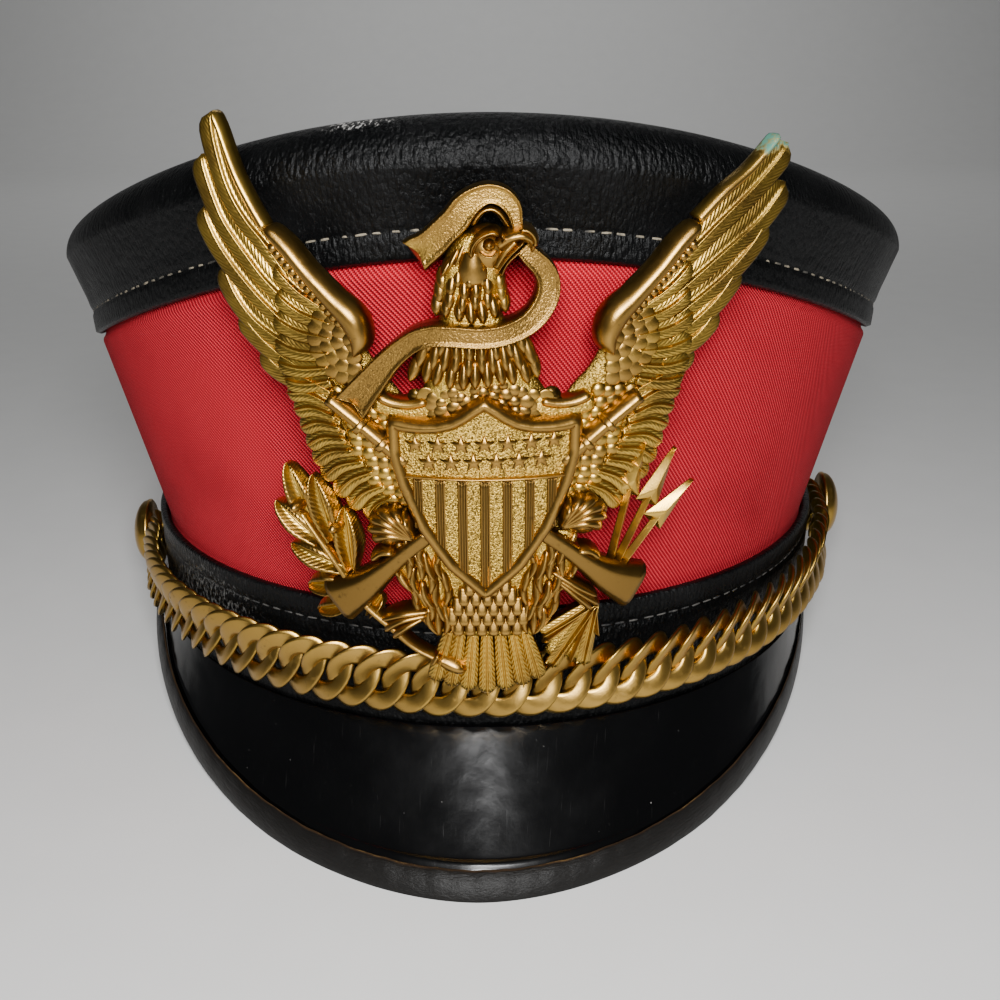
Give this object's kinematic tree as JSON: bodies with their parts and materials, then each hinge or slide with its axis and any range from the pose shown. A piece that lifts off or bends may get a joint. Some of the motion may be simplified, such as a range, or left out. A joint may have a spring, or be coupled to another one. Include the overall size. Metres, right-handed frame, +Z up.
{
  "type": "marching band hat",
  "caption": "Flared red cloth shako with black leather bands, a patent visor, a brass curb chain across the front and a stamped brass eagle plate.",
  "frame": {"origin": "middle of the hat's box, on the surface that it stands on", "axes": "+Z up, -Y the way the wearer faces, +X the viewer's right from the front"},
  "size_m": [0.1988, 0.256, 0.1338],
  "materials": {
    "red_twill": "matt diagonal twill",
    "black_leather": "semi-gloss, fine grain and scuffs",
    "patent_leather": "glossy patent",
    "binding_leather": "worn satin",
    "chain_brass": "tarnished",
    "plate_brass": "stamped relief, tarnished"
  },
  "bodies": {
    "root": {"crown_wall": "red_twill", "crown_top": "black_leather", "top_band": "black_leather", "lower_band": "black_leather", "visor": "patent_leather", "visor_binding": "binding_leather", "chin_chain": "chain_brass", "side_button_left": "chain_brass", "side_button_right": "chain_brass", "eagle_plate": "plate_brass"}
  },
  "joints": []
}
